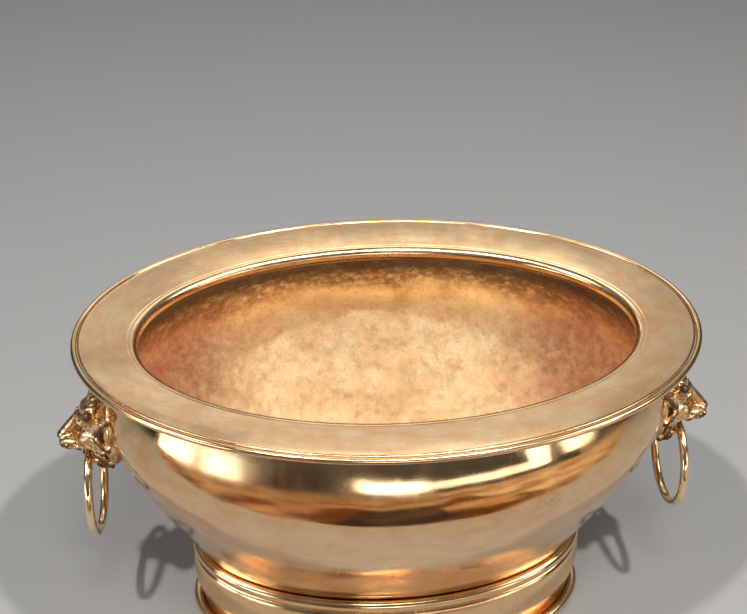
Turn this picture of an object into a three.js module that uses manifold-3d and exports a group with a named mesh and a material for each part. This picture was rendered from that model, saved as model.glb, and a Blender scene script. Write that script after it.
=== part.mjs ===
// An oval planter pot in polished brass: a raised bowl with a broad rim, standing on a hollow foot,
// with a lion mask and a hanging ring at each end. Millimetres, +Z up. The origin is the middle of the
// base, and X runs from one handle to the other.
import * as THREE from "three";
import { mergeVertices } from "three/addons/utils/BufferGeometryUtils.js";
import Module from "manifold-3d";

const wasm = await Module();
wasm.setup();

// Overall sizes. Every oval section is the rim's oval moved inwards by an inset.
const RIM_LENGTH = 400;
const RIM_WIDTH = 280;
const HEIGHT = 230;

// Gap that neighbouring pieces keep, and the play of a stud in its hole.
const GAP = 0.3;
const STUD_PLAY = 0.3;

// Rim: a broad flange, dished a little towards the mouth, where it rolls down. A bead of wire runs round
// its outer edge.
const FLANGE_WIDTH = 40.5;
const FLANGE_THICKNESS = 2;
const FLANGE_DROP = 0.4;
const FLANGE_DISH = 3;
const FLANGE_ROLL = 5;
const FLANGE_LIP = 11.6;
const RIM_WIRE_RADIUS = 2;

// Bowl: the neck laps the flange's lip, the belly swells, and the wall falls to a narrow waist.
const WALL = 1.6;
const NECK_HEIGHT = 5.5;
const BELLY_INSET = 16.5;
const BELLY_DROP = 60;
const WAIST_CLEARANCE = 1.9;
const FLOOR_TURN = 16;
// Where the outline's curves are drawn to, as shares of each curve's width and height.
const NECK_PULL = { out: 0.2, down: 0.16, rise: 0.47 };
const BELLY_PULL = { drop: 0.24, out: 0.3, rise: 0.29 };
const FLOOR_PULL = 0.45;

// Foot: a collar bead under the bowl, a swelling hollow ring, and a base wire.
const COLLAR_RADIUS = 4;
const COLLAR_INSET = 66;
const FOOT_HEIGHT = 48.5;
const FOOT_THICKNESS = 2;
const FOOT_INSET = 61;
const FOOT_SHOULDER = 13;
const FOOT_TOP_INSET = 66;
const FOOT_SEAT_INSET = 92;
const BASE_INSET = 66;
const BASE_LIP = 8.5;
const BASE_WALL = 8;
const BASE_WIRE_RADIUS = 3.4;
const BASE_WIRE_LIFT = 0.6;
const FLANK_PULL = { drop: 0.4, rise: 0.25 };

// Handles: the ring hangs from a bore through the lion's mouth.
const PIVOT_OFFSET = 15.5;
const PIVOT_DROP = 88;
const RING_RADIUS = 33;
const RING_WIRE_RADIUS = 3;
const BORE_PLAY = 0.5;
const BORE_REACH = 20;
const MASK_WIDTH = 52;
const MASK_HEIGHT = 56;
const MASK_RISE = 14;
const NOSE_REACH = 21;
// The mask is cast as one piece of eggs. Places run outwards, sideways and upwards from the ring's pivot.
const MANE_DEPTH = 17;
const HEAD = { place: [-4, 0, 15], radii: [13, 17, 17] };
const MUZZLE = { place: [NOSE_REACH - 15, 0, 4], radii: [15, 13, 10] };
const JAW = { place: [-1, 0, -6], radii: [11, 13, 8] };
const EAR = { place: [-6, 16, 31], radii: [5, 6, 6] };

// Fixings: each mask has two studs, with a washer and a nut inside the bowl.
const STUD_RADIUS = 2.5;
const STUD_SPACING = 16;
const STUD_BITE = 8;
const STUD_TAIL = 2;
const STUD_LOWERING = 2.5;
const WASHER_RADIUS = 6;
const WASHER_THICKNESS = 1.2;
const NUT_WIDTH = 8;
const NUT_THICKNESS = 4;

// Facets: round the oval, round a wire, along a ring, round a stud and a drilled hole.
const AROUND = 56;
const ROUND_SECTION = 8;
const RING_FACETS = 36;
const STUD_FACETS = 10;
const HOLE_FACETS = 14;

const brass = (name, color, roughness) =>
  new THREE.MeshStandardMaterial({ name, color, roughness, metalness: 1 });

const POLISHED = [0xd9b26a, 0.18];
const TARNISHED = [0xa8753f, 0.42];
const CAST = [0xc9a05c, 0.3];

// The oval's half length at an inset from the rim's edge, and its half width for a half length.
const halfLength = (inset) => RIM_LENGTH / 2 - inset;
const OVAL = (RIM_LENGTH - RIM_WIDTH) / 2;
const halfWidth = (half) => Math.max(half - OVAL, half / 2);

const at = (x, y) => new THREE.Vector2(x, y);

// Turns a profile of (half length, height) points round the oval. It runs with the metal on its left.
function ovalTurned(profile) {
  const geometry = new THREE.LatheGeometry(profile, AROUND);
  geometry.rotateX(Math.PI / 2);
  const position = geometry.getAttribute("position");
  for (let i = 0; i < position.count; i++) {
    const half = Math.hypot(position.getX(i), position.getY(i));
    if (half > 0) position.setY(i, (position.getY(i) * halfWidth(half)) / half);
  }
  return geometry;
}

// A closed round section, for a wire that runs round the oval.
function roundSection(half, height, radius) {
  const points = [];
  for (let i = 0; i <= ROUND_SECTION; i++) {
    const turn = ((i % ROUND_SECTION) / ROUND_SECTION) * 2 * Math.PI;
    points.push(at(half + radius * Math.cos(turn), height + radius * Math.sin(turn)));
  }
  return points;
}

// The curve moved sideways by a distance, to its left when that is positive.
function beside(points, distance) {
  return points.map((point, i) => {
    const before = points[Math.max(i - 1, 0)];
    const after = points[Math.min(i + 1, points.length - 1)];
    const along = after.clone().sub(before).normalize();
    return at(point.x - along.y * distance, point.y + along.x * distance);
  });
}

function solidOf(geometry) {
  const bare = geometry.index ? geometry.toNonIndexed() : geometry.clone();
  bare.deleteAttribute("normal");
  bare.deleteAttribute("uv");
  const merged = mergeVertices(bare, 1e-4);
  const vertProperties = merged.getAttribute("position").array;
  const triVerts = new Uint32Array(merged.index.array);
  return new wasm.Manifold(new wasm.Mesh({ numProp: 3, vertProperties, triVerts }));
}

function geometryOf(solid) {
  const mesh = solid.getMesh();
  const positions = new Float32Array(mesh.numVert * 3);
  for (let i = 0; i < mesh.numVert; i++) {
    const start = i * mesh.numProp;
    positions.set(mesh.vertProperties.subarray(start, start + 3), i * 3);
  }
  const geometry = new THREE.BufferGeometry();
  geometry.setAttribute("position", new THREE.BufferAttribute(positions, 3));
  geometry.setIndex(new THREE.BufferAttribute(mesh.triVerts, 1));
  return geometry;
}

function named(name, geometry, [color, roughness]) {
  const mesh = new THREE.Mesh(geometry, brass(name, color, roughness));
  mesh.name = name;
  return mesh;
}

// A cylinder along X from one X to another, at a height.
function rodAlongX(from, to, radius, z, sides) {
  const rod = new THREE.CylinderGeometry(radius, radius, Math.abs(to - from), sides);
  rod.rotateZ(Math.PI / 2);
  rod.translate((from + to) / 2, 0, z);
  return rod;
}

// The clearing hole for a stud, as a solid to cut away.
function studHole(from, to, height) {
  return solidOf(rodAlongX(from, to, STUD_RADIUS + STUD_PLAY, height, HOLE_FACETS));
}

// ---------------------------------------------------------------- the bowl's outline

const neckHalf = halfLength(FLANGE_WIDTH) + FLANGE_THICKNESS + GAP + WALL;
const neckTop = HEIGHT - FLANGE_DROP - FLANGE_DISH - FLANGE_THICKNESS - GAP;
const neckFoot = neckTop - NECK_HEIGHT;
const belly = at(halfLength(BELLY_INSET), HEIGHT - BELLY_DROP);
const floorHeight = FOOT_HEIGHT + GAP;
const collarHalf = halfLength(COLLAR_INSET);
const waist = at(collarHalf, floorHeight + 2 * COLLAR_RADIUS + WAIST_CLEARANCE);
const floorEdge = at(collarHalf - COLLAR_RADIUS - FLOOR_TURN, floorHeight);

const neckCurve = new THREE.CubicBezierCurve(
  at(neckHalf, neckFoot),
  at(
    neckHalf + NECK_PULL.out * (belly.x - neckHalf),
    neckFoot - NECK_PULL.down * (neckFoot - belly.y),
  ),
  at(belly.x, belly.y + NECK_PULL.rise * (neckFoot - belly.y)),
  belly,
);
const bellyCurve = new THREE.CubicBezierCurve(
  belly,
  at(belly.x, belly.y - BELLY_PULL.drop * (belly.y - waist.y)),
  at(
    waist.x + BELLY_PULL.out * (belly.x - waist.x),
    waist.y + BELLY_PULL.rise * (belly.y - waist.y),
  ),
  waist,
);
const floorCurve = new THREE.QuadraticBezierCurve(
  waist,
  at(floorEdge.x + FLOOR_PULL * (waist.x - floorEdge.x), floorHeight),
  floorEdge,
);

// From the floor's edge up to the top of the neck.
const bowlOutside = [
  ...floorCurve.getPoints(3).reverse(),
  ...bellyCurve.getPoints(7).reverse().slice(1),
  ...neckCurve.getPoints(4).reverse().slice(1),
  at(neckHalf, neckTop),
];

// Half length of an outline at a height.
function outlineAt(outline, height) {
  const i = outline.findIndex((point, n) => n > 0 && point.y >= height);
  const low = outline[i - 1];
  const high = outline[i];
  return low.x + ((high.x - low.x) * (height - low.y)) / (high.y - low.y);
}

const bowlInside = beside(bowlOutside, WALL);
bowlInside[0].y = floorHeight + WALL;
bowlInside[bowlInside.length - 1].y = neckTop;

// ---------------------------------------------------------------- the handles' places

const pivotHeight = HEIGHT - PIVOT_DROP;
const pivotHalf = belly.x + PIVOT_OFFSET;
const maskMiddle = pivotHeight + MASK_RISE;
const maskTop = maskMiddle + MASK_HEIGHT / 2;
const studMiddle = (maskTop + pivotHeight) / 2 - STUD_LOWERING;
const studHeights = { lower: studMiddle - STUD_SPACING / 2, upper: studMiddle + STUD_SPACING / 2 };

// The wall's inner face at a washer: its nearest point to the bowl's middle, over the washer's height.
function washerSeat(height) {
  const low = outlineAt(bowlInside, height - WASHER_RADIUS);
  const high = outlineAt(bowlInside, height + WASHER_RADIUS);
  const half = Math.min(low, high);
  const bulge = half - half * Math.sqrt(1 - (WASHER_RADIUS / halfWidth(half)) ** 2);
  return half - bulge - GAP;
}

// ---------------------------------------------------------------- bowl and rim

function bowlShell() {
  const outside = [at(0, floorHeight), ...bowlOutside];
  const inside = [...bowlInside.slice().reverse(), at(0, floorHeight + WALL)];
  let bowl = solidOf(ovalTurned([...outside, ...inside]));
  for (const height of Object.values(studHeights)) {
    const reach = belly.x + STUD_BITE;
    for (const side of [-1, 1]) {
      bowl = bowl.subtract(studHole((side * reach) / 2, side * reach, height));
    }
  }
  return named("bowl_shell", geometryOf(bowl), TARNISHED);
}

function rimFlange() {
  const mouth = halfLength(FLANGE_WIDTH);
  const outer = halfLength(2 * RIM_WIRE_RADIUS + GAP);
  const top = HEIGHT - FLANGE_DROP;
  const under = top - FLANGE_THICKNESS;
  const roll = new THREE.EllipseCurve(
    mouth + FLANGE_ROLL,
    top - FLANGE_DISH - FLANGE_ROLL,
    FLANGE_ROLL,
    FLANGE_ROLL,
    Math.PI / 2,
    Math.PI,
  );
  const profile = [
    at(outer, under),
    at(outer, top),
    ...roll.getPoints(3),
    at(mouth, top - FLANGE_LIP),
    at(mouth + FLANGE_THICKNESS, top - FLANGE_LIP),
    at(mouth + FLANGE_THICKNESS, under - FLANGE_DISH),
    at(outer, under),
  ];
  return named("rim_flange", ovalTurned(profile), POLISHED);
}

function rimWire() {
  const half = halfLength(RIM_WIRE_RADIUS);
  const section = roundSection(half, HEIGHT - RIM_WIRE_RADIUS, RIM_WIRE_RADIUS);
  return named("rim_wire", ovalTurned(section), POLISHED);
}

// ---------------------------------------------------------------- collar and foot

function footCollar() {
  const height = FOOT_HEIGHT + GAP + COLLAR_RADIUS;
  const section = roundSection(collarHalf, height, COLLAR_RADIUS);
  return named("foot_collar", ovalTurned(section), POLISHED);
}

function footRing() {
  const top = at(halfLength(FOOT_TOP_INSET), FOOT_HEIGHT);
  const widest = at(halfLength(FOOT_INSET), FOOT_HEIGHT - FOOT_SHOULDER);
  const base = at(halfLength(BASE_INSET), BASE_WALL);
  const shoulder = new THREE.QuadraticBezierCurve(top, at(widest.x, top.y), widest);
  const flank = new THREE.CubicBezierCurve(
    widest,
    at(widest.x, widest.y - FLANK_PULL.drop * (widest.y - base.y)),
    at(base.x, base.y + FLANK_PULL.rise * (widest.y - base.y)),
    base,
  );
  const outside = [
    at(base.x, 0),
    ...flank.getPoints(3).reverse(),
    ...shoulder.getPoints(3).reverse().slice(1),
    at(halfLength(FOOT_SEAT_INSET), FOOT_HEIGHT),
  ];
  const inside = beside(outside, FOOT_THICKNESS).reverse();
  inside[inside.length - 1].y = FOOT_THICKNESS;
  const lip = [at(base.x - BASE_LIP, FOOT_THICKNESS), at(base.x - BASE_LIP, 0), at(base.x, 0)];
  return named("foot_ring", ovalTurned([...outside, ...inside, ...lip]), POLISHED);
}

function baseWire() {
  const half = halfLength(BASE_INSET) + GAP + BASE_WIRE_RADIUS;
  const section = roundSection(half, BASE_WIRE_LIFT + BASE_WIRE_RADIUS, BASE_WIRE_RADIUS);
  return named("base_wire", ovalTurned(section), POLISHED);
}

// ---------------------------------------------------------------- handles, drawn at the +X end

function egg({ place: [reach, side, rise], radii }, around = 16, rows = 10) {
  const shape = new THREE.SphereGeometry(1, around, rows);
  shape.rotateX(Math.PI / 2);
  shape.scale(...radii);
  shape.translate(pivotHalf + reach, side, pivotHeight + rise);
  return solidOf(shape);
}

// The space that the ring sweeps where it passes through the mouth, as a turned shape along Y.
function mouthBore() {
  const steps = 8;
  const profile = [at(0, -BORE_REACH)];
  for (let i = 0; i <= steps; i++) {
    const y = BORE_REACH * ((2 * i) / steps - 1);
    const sink = RING_RADIUS - Math.sqrt(RING_RADIUS ** 2 - y ** 2);
    profile.push(at(RING_WIRE_RADIUS + BORE_PLAY + sink, y));
  }
  profile.push(at(0, BORE_REACH));
  const bore = new THREE.LatheGeometry(profile, 16);
  bore.translate(pivotHalf, 0, pivotHeight);
  return solidOf(bore);
}

// Everything that the bowl's outside takes up, with the gap that the mask keeps to it.
function bowlBlank() {
  const outline = beside(bowlOutside, -GAP);
  const profile = [at(0, outline[0].y), ...outline, at(0, outline[outline.length - 1].y)];
  return solidOf(ovalTurned(profile));
}

function lionMask() {
  const mane = {
    place: [-PIVOT_OFFSET - 1, 0, MASK_RISE],
    radii: [MANE_DEPTH, MASK_WIDTH / 2, MASK_HEIGHT / 2],
  };
  let mask = egg(mane, 20, 12).add(egg(HEAD)).add(egg(MUZZLE)).add(egg(JAW));
  for (const side of [-1, 1]) {
    const [reach, spread, rise] = EAR.place;
    mask = mask.add(egg({ place: [reach, side * spread, rise], radii: EAR.radii }, 10, 6));
  }
  mask = mask.subtract(mouthBore()).subtract(bowlBlank());
  for (const height of Object.values(studHeights)) {
    mask = mask.subtract(studHole(belly.x / 2, belly.x + STUD_BITE + GAP, height));
  }
  return geometryOf(mask);
}

function ringHandle() {
  const ring = new THREE.TorusGeometry(RING_RADIUS, RING_WIRE_RADIUS, ROUND_SECTION, RING_FACETS);
  ring.rotateY(Math.PI / 2);
  ring.translate(pivotHalf, 0, pivotHeight - RING_RADIUS);
  return ring;
}

function studRod(height) {
  const inner = washerSeat(height) - WASHER_THICKNESS - NUT_THICKNESS - 2 * GAP - STUD_TAIL;
  return rodAlongX(inner, belly.x + STUD_BITE, STUD_RADIUS, height, STUD_FACETS);
}

// A flat piece with a clearing hole for the stud, standing across X with its outer face at a place.
function drilledPlate(outline, outerFace, thickness, height) {
  const hole = new THREE.Path().absarc(0, 0, STUD_RADIUS + STUD_PLAY, 0, 2 * Math.PI, true);
  outline.holes.push(hole);
  const plate = new THREE.ExtrudeGeometry(outline, {
    depth: thickness,
    bevelEnabled: false,
    curveSegments: 8,
  });
  plate.rotateY(Math.PI / 2);
  plate.translate(outerFace - thickness, 0, height);
  return plate;
}

function studWasher(height) {
  const disc = new THREE.Shape().absarc(0, 0, WASHER_RADIUS, 0, 2 * Math.PI, false);
  return drilledPlate(disc, washerSeat(height), WASHER_THICKNESS, height);
}

function studNut(height) {
  const corner = NUT_WIDTH / Math.sqrt(3);
  const hexagon = new THREE.Shape();
  for (let i = 0; i < 6; i++) {
    const turn = ((i + 0.5) * Math.PI) / 3;
    hexagon[i ? "lineTo" : "moveTo"](corner * Math.cos(turn), corner * Math.sin(turn));
  }
  hexagon.closePath();
  const outerFace = washerSeat(height) - WASHER_THICKNESS - GAP;
  return drilledPlate(hexagon, outerFace, NUT_THICKNESS, height);
}

// One end's pieces. The group is turned half round for the end at -X.
function handleSet(side, turn) {
  const set = new THREE.Group();
  set.rotation.z = turn;
  set.add(named(side + "_lion_mask", lionMask(), CAST));
  set.add(named(side + "_ring", ringHandle(), POLISHED));
  for (const [place, height] of Object.entries(studHeights)) {
    set.add(named([side, place, "stud"].join("_"), studRod(height), CAST));
    set.add(named([side, place, "washer"].join("_"), studWasher(height), TARNISHED));
    set.add(named([side, place, "nut"].join("_"), studNut(height), TARNISHED));
  }
  return set;
}

const group = new THREE.Group();
group.name = "oval_planter_pot";
group.add(bowlShell(), rimFlange(), rimWire(), footCollar(), footRing(), baseWire());
group.add(handleSet("right", 0), handleSet("left", Math.PI));

export default group;
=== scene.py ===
# An oval planter pot in polished brass, with a lion mask and a hanging ring at each end.
# Metres, +Z up. The origin is the middle of the base, and X runs from one handle to the other.
import math

import bmesh
import bpy
import numpy as np
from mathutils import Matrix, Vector


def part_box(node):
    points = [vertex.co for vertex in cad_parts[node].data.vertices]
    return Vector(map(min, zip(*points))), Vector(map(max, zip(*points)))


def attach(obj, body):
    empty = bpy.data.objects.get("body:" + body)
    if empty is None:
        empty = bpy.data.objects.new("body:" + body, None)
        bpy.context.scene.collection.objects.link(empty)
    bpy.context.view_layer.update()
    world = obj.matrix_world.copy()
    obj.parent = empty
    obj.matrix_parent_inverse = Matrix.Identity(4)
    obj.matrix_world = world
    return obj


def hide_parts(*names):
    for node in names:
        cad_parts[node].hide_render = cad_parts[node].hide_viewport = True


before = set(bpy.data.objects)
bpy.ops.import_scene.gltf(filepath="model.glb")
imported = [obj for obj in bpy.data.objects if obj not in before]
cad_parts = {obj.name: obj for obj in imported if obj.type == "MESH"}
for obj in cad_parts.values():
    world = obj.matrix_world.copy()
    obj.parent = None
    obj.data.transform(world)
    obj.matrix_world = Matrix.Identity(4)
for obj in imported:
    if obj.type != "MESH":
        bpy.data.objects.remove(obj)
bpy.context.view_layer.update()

MM = 0.001
POT = "pot"
SIDES = {"right": 1, "left": -1}

# ---------------------------------------------------------------- sizes, from the frame

rim_low, rim_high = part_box("rim_wire")
flange_low, flange_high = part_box("rim_flange")
bowl_low, bowl_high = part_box("bowl_shell")
collar_low, collar_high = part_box("foot_collar")
_, foot_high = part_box("foot_ring")
base_low, base_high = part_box("base_wire")
ring_low, ring_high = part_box("right_ring")

OVAL = rim_high.x - rim_high.y
RIM_BEAD = (rim_high.z - rim_low.z) / 2
COLLAR_BEAD = (collar_high.z - collar_low.z) / 2
BASE_BEAD = (base_high.z - base_low.z) / 2
BELLY = bowl_high.x
BELLY_HEIGHT = rim_high.z - 60 * MM
PLAY = 0.3 * MM
RING_WIRE = (ring_high.x - ring_low.x) / 2
RING_RADIUS = ring_high.y - RING_WIRE
PIVOT = Vector(((ring_low.x + ring_high.x) / 2, 0, ring_high.z - RING_WIRE))

FLANGE_WIDTH = 40.5 * MM
MOUTH = rim_high.x - FLANGE_WIDTH
FLANGE_THICKNESS = 2 * MM
FLANGE_DISH = 3 * MM
FLANGE_ROLL = 5 * MM
BOWL_WALL = 1.6 * MM
NECK_HALF = MOUTH + FLANGE_THICKNESS + PLAY + BOWL_WALL
NECK_FOOT = bowl_high.z - 5.5 * MM
FOOT_THICKNESS = 2 * MM
FOOT_SHOULDER = 13 * MM
FOOT_SEAT = rim_high.x - 92 * MM
BASE_HALF = rim_high.x - 66 * MM
BASE_LIP = 8.5 * MM
FLOOR_TURN = 16 * MM
WAIST_LIFT = 10.2 * MM

AROUND = 320
SEAM = 0.002 * MM


def half_width(half):
    """Half width of the oval section with a half length."""
    return np.maximum(half - OVAL, half / 2)


# ---------------------------------------------------------------- helpers for nodes


def set_inputs(node, values):
    """Each value is a socket to link from, or a number or vector to set. Returns the node."""
    for name, value in values.items():
        socket = node.inputs[name]
        if isinstance(value, bpy.types.NodeSocket):
            node.id_data.links.new(value, socket)
        else:
            socket.default_value = value
    return node


def add(tree, kind, values=None, **settings):
    """A new node with its settings and its inputs."""
    node = tree.nodes.new(kind)
    for name, value in settings.items():
        setattr(node, name, value)
    return set_inputs(node, values or {})


def maths(operation, *values):
    """A maths node in the tree that its values come from. At least one of them is a socket."""
    tree = next(value.id_data for value in values if isinstance(value, bpy.types.NodeSocket))
    return add(tree, "ShaderNodeMath", dict(enumerate(values)), operation=operation).outputs[0]


def plus(a, b):
    return maths("ADD", a, b)


def minus(a, b):
    return maths("SUBTRACT", a, b)


def times(a, b):
    return maths("MULTIPLY", a, b)


def ranged(value, low, high, to_low=0.0, to_high=1.0, kind="SMOOTHSTEP"):
    """The value moved from one range to another and held inside it."""
    node = add(value.id_data, "ShaderNodeMapRange", interpolation_type=kind)
    set_inputs(node, {"Value": value, "From Min": low, "From Max": high, "To Min": to_low, "To Max": to_high})
    return node.outputs[0]


def parts(vector):
    return add(vector.id_data, "ShaderNodeSeparateXYZ", {"Vector": vector}).outputs


def whole(tree, x, y, z):
    return add(tree, "ShaderNodeCombineXYZ", {"X": x, "Y": y, "Z": z}).outputs[0]


def noise(place, scale, detail=2.0, roughness=0.5, seed=None, distortion=0.0):
    """Noise at a place. Each seed gives another one."""
    node = add(place.id_data, "ShaderNodeTexNoise", noise_dimensions="3D" if seed is None else "4D")
    set_inputs(node, {"Vector": place, "Scale": scale, "Detail": detail, "Roughness": roughness})
    set_inputs(node, {"Distortion": distortion, **({} if seed is None else {"W": seed})})
    return node.outputs[0]


def node_group(name, tree_kind, inputs, outputs):
    """A node group with named inputs and outputs. Returns the tree, its input sockets and its output node."""
    tree = bpy.data.node_groups.new(name, tree_kind)
    for socket, kind, value in inputs:
        made = tree.interface.new_socket(name=socket, in_out="INPUT", socket_type="NodeSocket" + kind)
        if value is not None:
            made.default_value = value
    for socket, kind in outputs:
        tree.interface.new_socket(name=socket, in_out="OUTPUT", socket_type="NodeSocket" + kind)
    return tree, tree.nodes.new("NodeGroupInput").outputs, tree.nodes.new("NodeGroupOutput")


def in_scene(name, data):
    """A new object for some data, put in the scene."""
    made = bpy.data.objects.new(name, data)
    bpy.context.scene.collection.objects.link(made)
    return made


def reshaped(mesh, change):
    """Changes a mesh in place by a function of its bmesh."""
    shape = bmesh.new()
    shape.from_mesh(mesh)
    change(shape)
    shape.to_mesh(mesh)
    shape.free()


def store(mesh, name, values, kind="FLOAT", field="value"):
    """Keeps a value for each point of a mesh."""
    mesh.attributes.new(name, kind, "POINT").data.foreach_set(field, values)


# ---------------------------------------------------------------- the oval turning tree


def oval_turning_tree():
    """Turns a profile of (half length, 0, height) points round the oval, and dents it like hand work."""
    sockets = [
        ("Profile", "Geometry", None),
        ("Around", "Int", AROUND),
        ("Oval", "Float", OVAL),
        ("Dent Depth", "Float", 0.0),
        ("Dent Size", "Float", 0.07),
        ("Ripple Depth", "Float", 0.0),
        ("Ripple Size", "Float", 0.018),
        ("Seed", "Int", 1),
        ("Metal", "Material", None),
        ("Lining", "Material", None),
    ]
    tree, given, result = node_group("oval_turning", "GeometryNodeTree", sockets, [("Turned", "Geometry")])
    size = add(tree, "GeometryNodeAttributeDomainSize", {"Geometry": given["Profile"]})
    rows = size.outputs["Point Count"]
    columns = plus(given["Around"], 1)
    grid = add(tree, "GeometryNodeMeshGrid", {"Vertices X": columns, "Vertices Y": rows})
    index = tree.nodes.new("GeometryNodeInputIndex").outputs[0]
    column = maths("FLOOR", maths("DIVIDE", plus(index, 0.5), rows))
    row = minus(index, times(column, rows))

    def on_profile(field, kind):
        node = add(tree, "GeometryNodeSampleIndex", data_type=kind, domain="POINT")
        set_inputs(node, {"Geometry": given["Profile"], "Value": field, "Index": row})
        return node.outputs["Value"]

    def profile_attribute(name, kind):
        node = add(tree, "GeometryNodeInputNamedAttribute", {"Name": name}, data_type=kind)
        return on_profile(node.outputs["Attribute"], kind)

    place = parts(on_profile(tree.nodes.new("GeometryNodeInputPosition").outputs[0], "FLOAT_VECTOR"))
    push = parts(profile_attribute("push", "FLOAT_VECTOR"))
    lining = profile_attribute("lining", "FLOAT")
    along = profile_attribute("along", "FLOAT")
    angle = times(maths("DIVIDE", column, given["Around"]), math.tau)
    cosine, sine = maths("COSINE", angle), maths("SINE", angle)
    half = place["X"]
    narrowed = minus(half, given["Oval"])
    across = maths("MAXIMUM", narrowed, times(half, 0.5))
    x, y = times(half, cosine), times(across, sine)
    turned = whole(tree, x, y, place["Z"])

    def waves(depth, length, seed_shift):
        seed = plus(given["Seed"], seed_shift)
        scale = maths("DIVIDE", 1.0, given[length])
        centred = minus(noise(turned, scale, 1.0, 0.4, seed), 0.5)
        return times(centred, times(given[depth], 2.0))

    dent = plus(waves("Dent Depth", "Dent Size", 0.3), waves("Ripple Depth", "Ripple Size", 7.7))
    outward = times(push["X"], dent)
    upward = times(push["Z"], dent)
    moved = whole(tree, times(outward, cosine), times(outward, sine), upward)
    placed = add(tree, "GeometryNodeSetPosition", {"Geometry": grid.outputs["Mesh"]})
    shape = set_inputs(placed, {"Position": turned, "Offset": moved}).outputs[0]
    stored = [
        ("turn", "FLOAT_VECTOR", whole(tree, cosine, sine, 0.0)),
        ("section", "FLOAT_VECTOR", whole(tree, half, place["Z"], along)),
        ("lining", "FLOAT", lining),
    ]
    for name, kind, value in stored:
        node = add(tree, "GeometryNodeStoreNamedAttribute", data_type=kind, domain="POINT")
        set_inputs(node, {"Geometry": shape, "Name": name, "Value": value})
        shape = node.outputs[0]
    shape = add(tree, "GeometryNodeMergeByDistance", {"Geometry": shape, "Distance": SEAM}).outputs[0]
    shape = add(tree, "GeometryNodeSetShadeSmooth", {"Geometry": shape}).outputs[0]
    shape = add(tree, "GeometryNodeRealizeInstances", {"Geometry": shape}).outputs[0]
    shape = add(tree, "GeometryNodeSetMaterial", {"Geometry": shape, "Material": given["Metal"]}).outputs[0]
    kept = add(tree, "GeometryNodeInputNamedAttribute", {"Name": "lining"}, data_type="FLOAT")
    lined = add(tree, "FunctionNodeCompare", data_type="FLOAT", operation="GREATER_THAN")
    set_inputs(lined, {"A": kept.outputs["Attribute"], "B": 0.5})
    last = add(tree, "GeometryNodeSetMaterial", {"Geometry": shape, "Material": given["Lining"]})
    set_inputs(last, {"Selection": lined.outputs[0]})
    set_inputs(result, {0: last.outputs[0]})
    return tree


def applied(name, start, tree, inputs):
    """The mesh that a geometry tree makes of a starting mesh, as a plain object with outward faces."""
    rough = in_scene("rough_" + name, start)
    modifier = rough.modifiers.new("tree", "NODES")
    modifier.node_group = tree
    for item in tree.interface.items_tree:
        if item.item_type == "SOCKET" and item.in_out == "INPUT" and item.name in inputs:
            modifier[item.identifier] = inputs[item.name]
    bpy.context.view_layer.update()
    evaluated = rough.evaluated_get(bpy.context.evaluated_depsgraph_get())
    mesh = bpy.data.meshes.new_from_object(evaluated)
    bpy.data.objects.remove(rough)
    bpy.data.meshes.remove(start)
    return plain_object(name, mesh)


def plain_object(name, mesh):
    """An object for a finished mesh, with its faces turned outwards."""
    reshaped(mesh, lambda shape: bmesh.ops.recalc_face_normals(shape, faces=shape.faces))
    mesh.name = name
    return in_scene(name, mesh)


# ---------------------------------------------------------------- profiles


class Profile:
    """Points of (half length, height), each with how far dents push it and whether it lines the inside."""

    def __init__(self):
        self.points, self.push, self.lining = [], [], []

    def add(self, points, push=(0, 0), lining=0.0):
        for i, point in enumerate(points):
            given = push(i / max(len(points) - 1, 1), point) if callable(push) else push
            self.points.append((float(point[0]), float(point[1])))
            self.push.append(given)
            self.lining.append(lining)

    def close(self):
        self.points.append(self.points[0])
        self.push.append(self.push[0])
        self.lining.append(self.lining[0])

    def mesh(self, name):
        mesh = bpy.data.meshes.new(name)
        count = len(self.points)
        mesh.from_pydata([(x, 0, z) for x, z in self.points], [(i, i + 1) for i in range(count - 1)], [])
        store(mesh, "push", [v for out, up in self.push for v in (out, 0, up)], "FLOAT_VECTOR", "vector")
        store(mesh, "lining", self.lining)
        steps = np.linalg.norm(np.diff(np.array(self.points), axis=0), axis=1)
        store(mesh, "along", [0.0] + list(np.cumsum(steps)))
        return mesh


def bend(corners, count, start=0):
    """Points on the Bezier curve of three or four corners, from step `start` of `count`."""
    t = np.linspace(0, 1, count + 1)[start:, None]
    c = np.array(corners, float)
    if len(c) == 3:
        return (1 - t) ** 2 * c[0] + 2 * t * (1 - t) * c[1] + t**2 * c[2]
    return (1 - t) ** 3 * c[0] + 3 * t * (1 - t) ** 2 * c[1] + 3 * t**2 * (1 - t) * c[2] + t**3 * c[3]


def beside(points, distance):
    """The line moved sideways by a distance, to its left when that is positive."""
    points = np.array(points)
    along = np.gradient(points, axis=0)
    along /= np.linalg.norm(along, axis=1)[:, None]
    return points + distance * np.stack([-along[:, 1], along[:, 0]], 1)


def arc(centre, radius, start, end, count):
    t = np.radians(np.linspace(start, end, count + 1))
    return np.stack([centre[0] + radius * np.cos(t), centre[1] + radius * np.sin(t)], 1)


belly = np.array([BELLY, BELLY_HEIGHT])
waist = np.array([BASE_HALF, bowl_low.z + WAIST_LIFT])
floor_edge = np.array([BASE_HALF - 4 * MM - FLOOR_TURN, bowl_low.z])
neck_foot = np.array([NECK_HALF, NECK_FOOT])


def between(a, b, across, up):
    return (a[0] + across * (b[0] - a[0]), a[1] + up * (b[1] - a[1]))


floor_line = bend([floor_edge, between(floor_edge, waist, 0.45, 0), waist], 14)
belly_line = bend([waist, between(waist, belly, 0.3, 0.29), between(belly, waist, 0, 0.24), belly], 48, 1)
neck_pulls = (between(belly, neck_foot, 0, 0.47), between(neck_foot, belly, 0.2, 0.16))
neck_line = bend([belly, *neck_pulls, neck_foot], 34, 1)
BOWL_OUTSIDE = np.concatenate([floor_line, belly_line, neck_line])


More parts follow.
